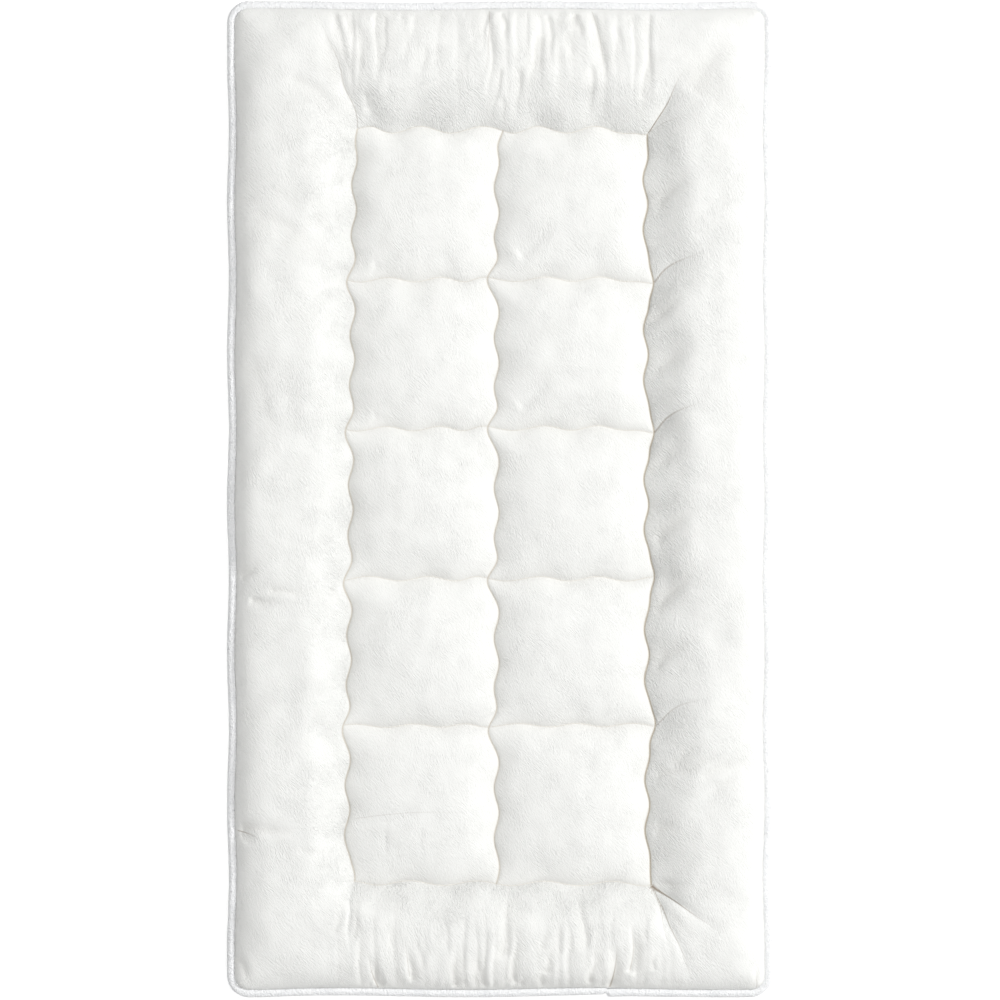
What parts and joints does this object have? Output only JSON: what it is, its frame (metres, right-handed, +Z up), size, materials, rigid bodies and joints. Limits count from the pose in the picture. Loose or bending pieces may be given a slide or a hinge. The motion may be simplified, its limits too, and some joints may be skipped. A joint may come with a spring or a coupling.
{
  "type": "mattress topper",
  "caption": "Filled plush mattress topper: square quilted tiles inside a fat border roll gathered at both ends, with round piping sewn into the edge seam.",
  "frame": {"origin": "on the floor, under the middle of the topper", "axes": "+X across the topper, +Y along it towards the end with the finer gathers, +Z up out of the plush face"},
  "size_m": [0.726, 1.326, 0.0554],
  "materials": {
    "plush": "short soft pile, matt with a faint sheen",
    "piping_cloth": "short brushed pile over a cord, matt"
  },
  "bodies": {
    "root": {"pad": "plush", "piping": "piping_cloth"}
  },
  "joints": []
}
